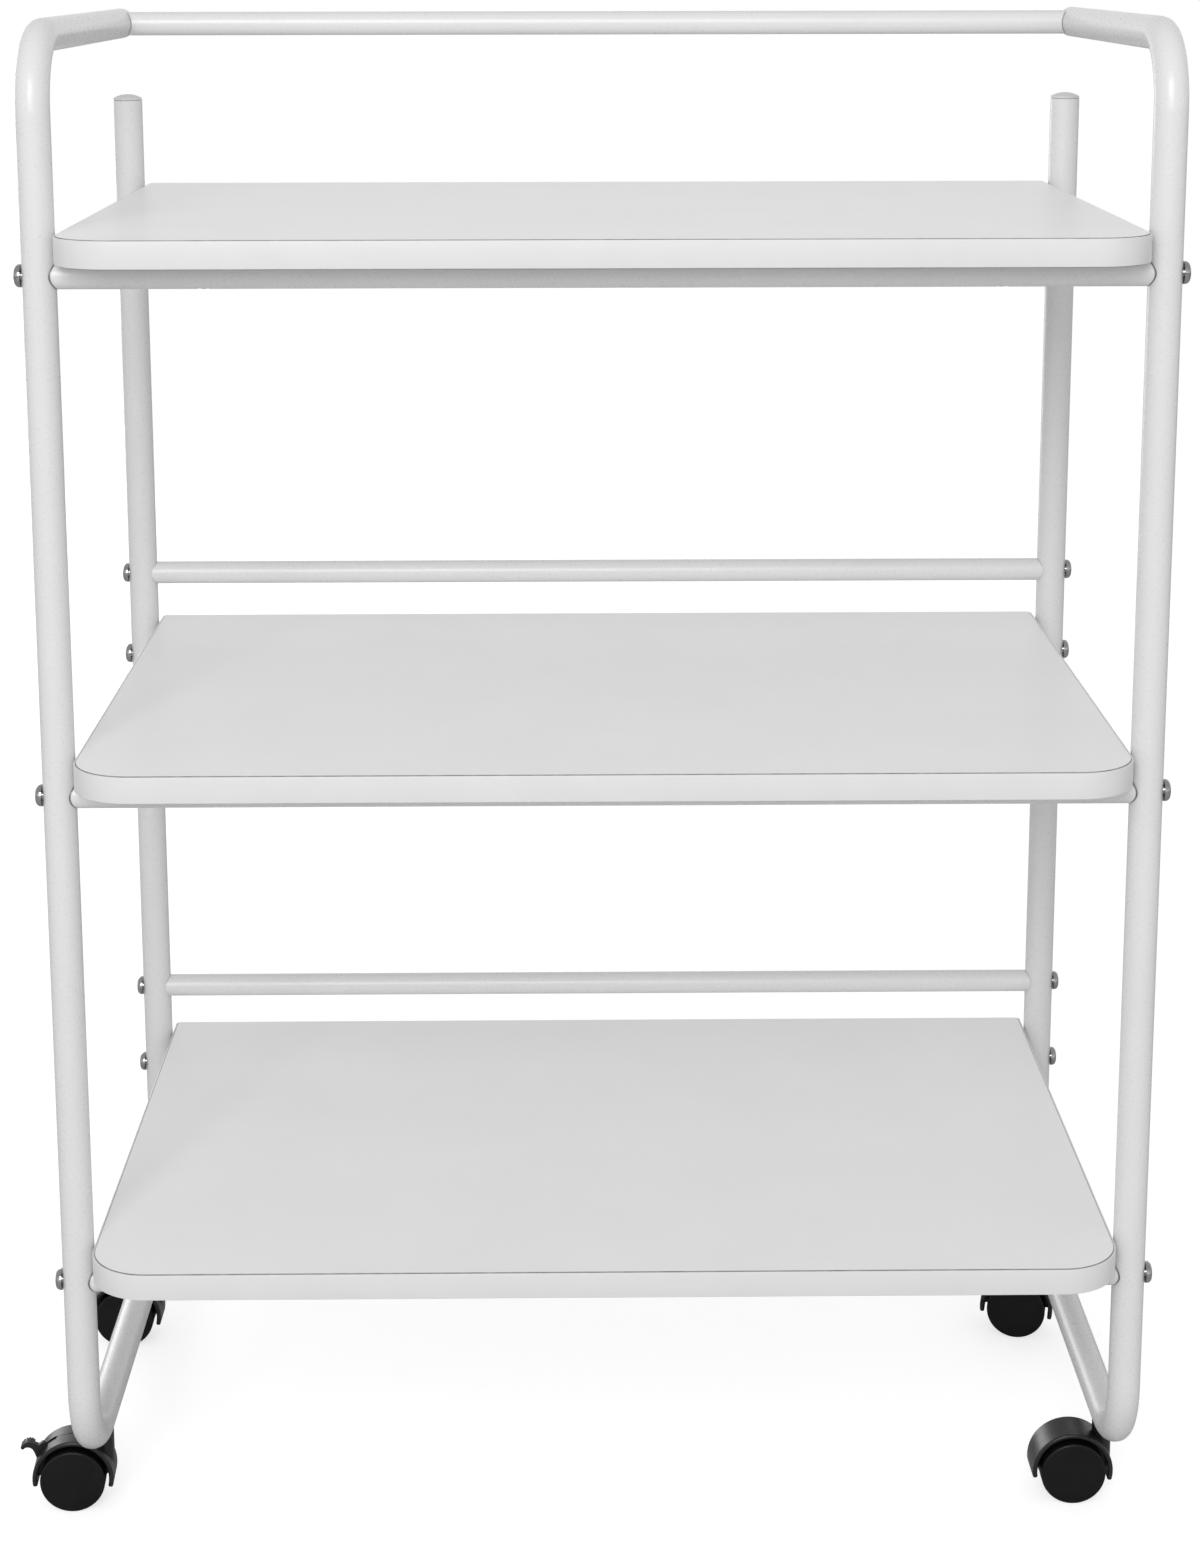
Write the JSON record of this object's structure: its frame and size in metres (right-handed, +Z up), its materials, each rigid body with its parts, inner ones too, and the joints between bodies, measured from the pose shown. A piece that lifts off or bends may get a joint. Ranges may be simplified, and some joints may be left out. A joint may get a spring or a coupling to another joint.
{
  "type": "mobile printer stand",
  "caption": "White tubular trolley with laminate shelves at different heights, raised rear rails, a push handle and swivelling twin-wheel casters, some with a brake lever.",
  "frame": {"origin": "on the floor, under the middle of the bounding box; the stand's own middle plane is at X = +0.019 m", "axes": "+Z up, +Y to the back where the guard rails are, +X to the right seen from the front"},
  "size_m": [0.6861, 0.4, 0.9115],
  "materials": {
    "white_powder_coat": "fine satin powder coat",
    "white_laminate": "matt melamine on particle board",
    "white_edge_band": "satin",
    "grey_plastic": "satin",
    "bright_chrome": "polished",
    "zinc_steel": "zinc plated",
    "black_hood_plastic": "satin moulded",
    "black_wheel_plastic": "matt moulded"
  },
  "bodies": {
    "frame": {"left_side_frame": "white_powder_coat", "right_side_frame": "white_powder_coat", "left_post_cap": "grey_plastic", "right_post_cap": "grey_plastic", "left_handle_cap": "grey_plastic", "right_handle_cap": "grey_plastic", "bottom_front_crossbar": "white_powder_coat", "bottom_rear_crossbar": "white_powder_coat", "middle_front_crossbar": "white_powder_coat", "middle_rear_crossbar": "white_powder_coat", "top_front_crossbar": "white_powder_coat", "top_rear_crossbar": "white_powder_coat", "bottom_guard_rail": "white_powder_coat", "middle_guard_rail": "white_powder_coat", "handle_crossbar": "white_powder_coat", "crossbar_end_plugs": "zinc_steel", "frame_screws": "bright_chrome", "shelf_screws": "zinc_steel", "caster_socket_nuts": "zinc_steel", "bottom_shelf_board": "white_laminate", "bottom_shelf_edge_band": "white_edge_band", "middle_shelf_board": "white_laminate", "middle_shelf_edge_band": "white_edge_band", "top_shelf_board": "white_laminate", "top_shelf_edge_band": "white_edge_band", "front_left_caster_stem": "zinc_steel", "front_right_caster_stem": "zinc_steel", "rear_left_caster_stem": "zinc_steel", "rear_right_caster_stem": "zinc_steel"},
    "front_left_caster": {"front_left_caster_hood": "black_hood_plastic", "front_left_caster_axle": "zinc_steel"},
    "front_left_caster_front_wheel": {"front_left_caster_front_wheel": "black_wheel_plastic"},
    "front_left_caster_back_wheel": {"front_left_caster_back_wheel": "black_wheel_plastic"},
    "front_left_brake_lever": {"front_left_brake_lever": "black_hood_plastic"},
    "front_right_caster": {"front_right_caster_hood": "black_hood_plastic", "front_right_caster_axle": "zinc_steel"},
    "front_right_caster_front_wheel": {"front_right_caster_front_wheel": "black_wheel_plastic"},
    "front_right_caster_back_wheel": {"front_right_caster_back_wheel": "black_wheel_plastic"},
    "rear_left_caster": {"rear_left_caster_hood": "black_hood_plastic", "rear_left_caster_axle": "zinc_steel"},
    "rear_left_caster_front_wheel": {"rear_left_caster_front_wheel": "black_wheel_plastic"},
    "rear_left_caster_back_wheel": {"rear_left_caster_back_wheel": "black_wheel_plastic"},
    "rear_right_caster": {"rear_right_caster_hood": "black_hood_plastic", "rear_right_caster_axle": "zinc_steel"},
    "rear_right_caster_front_wheel": {"rear_right_caster_front_wheel": "black_wheel_plastic"},
    "rear_right_caster_back_wheel": {"rear_right_caster_back_wheel": "black_wheel_plastic"},
    "rear_right_brake_lever": {"rear_right_brake_lever": "black_hood_plastic"}
  },
  "joints": [
    {"name": "front_left_caster_swivel", "type": "hinge", "parent": "frame", "child": "front_left_caster", "pos_m": [-0.2915, -0.092, 0.045], "axis": [0, 0, 1], "continuous": true},
    {"name": "front_left_caster_front_wheel_spin", "type": "hinge", "parent": "front_left_caster", "child": "front_left_caster_front_wheel", "pos_m": [-0.31047, -0.09299, 0.02], "axis": [0.0523, -0.9986, 0], "continuous": true},
    {"name": "front_left_caster_back_wheel_spin", "type": "hinge", "parent": "front_left_caster", "child": "front_left_caster_back_wheel", "pos_m": [-0.31047, -0.09299, 0.02], "axis": [0.0523, -0.9986, 0], "continuous": true},
    {"name": "front_left_brake_lever_tilt", "type": "hinge", "parent": "front_left_caster", "child": "front_left_brake_lever", "pos_m": [-0.32276, -0.09364, 0.0303], "axis": [0.0523, -0.9986, 0], "range_deg": [0, 15]},
    {"name": "front_right_caster_swivel", "type": "hinge", "parent": "frame", "child": "front_right_caster", "pos_m": [0.3295, -0.092, 0.045], "axis": [0, 0, 1], "continuous": true},
    {"name": "front_right_caster_front_wheel_spin", "type": "hinge", "parent": "front_right_caster", "child": "front_right_caster_front_wheel", "pos_m": [0.3105, -0.092, 0.02], "axis": [0, -1, 0], "continuous": true},
    {"name": "front_right_caster_back_wheel_spin", "type": "hinge", "parent": "front_right_caster", "child": "front_right_caster_back_wheel", "pos_m": [0.3105, -0.092, 0.02], "axis": [0, -1, 0], "continuous": true},
    {"name": "rear_left_caster_swivel", "type": "hinge", "parent": "frame", "child": "rear_left_caster", "pos_m": [-0.2915, 0.122, 0.045], "axis": [0, 0, 1], "continuous": true},
    {"name": "rear_left_caster_front_wheel_spin", "type": "hinge", "parent": "rear_left_caster", "child": "rear_left_caster_front_wheel", "pos_m": [-0.3105, 0.122, 0.02], "axis": [0, -1, 0], "continuous": true},
    {"name": "rear_left_caster_back_wheel_spin", "type": "hinge", "parent": "rear_left_caster", "child": "rear_left_caster_back_wheel", "pos_m": [-0.3105, 0.122, 0.02], "axis": [0, -1, 0], "continuous": true},
    {"name": "rear_right_caster_swivel", "type": "hinge", "parent": "frame", "child": "rear_right_caster", "pos_m": [0.3295, 0.122, 0.045], "axis": [0, 0, 1], "continuous": true},
    {"name": "rear_right_caster_front_wheel_spin", "type": "hinge", "parent": "rear_right_caster", "child": "rear_right_caster_front_wheel", "pos_m": [0.31092, 0.12595, 0.02], "axis": [-0.2079, -0.9781, 0], "continuous": true},
    {"name": "rear_right_caster_back_wheel_spin", "type": "hinge", "parent": "rear_right_caster", "child": "rear_right_caster_back_wheel", "pos_m": [0.31092, 0.12595, 0.02], "axis": [-0.2079, -0.9781, 0], "continuous": true},
    {"name": "rear_right_brake_lever_tilt", "type": "hinge", "parent": "rear_right_caster", "child": "rear_right_brake_lever", "pos_m": [0.29888, 0.12851, 0.0303], "axis": [-0.2079, -0.9781, 0], "range_deg": [0, 15]}
  ]
}
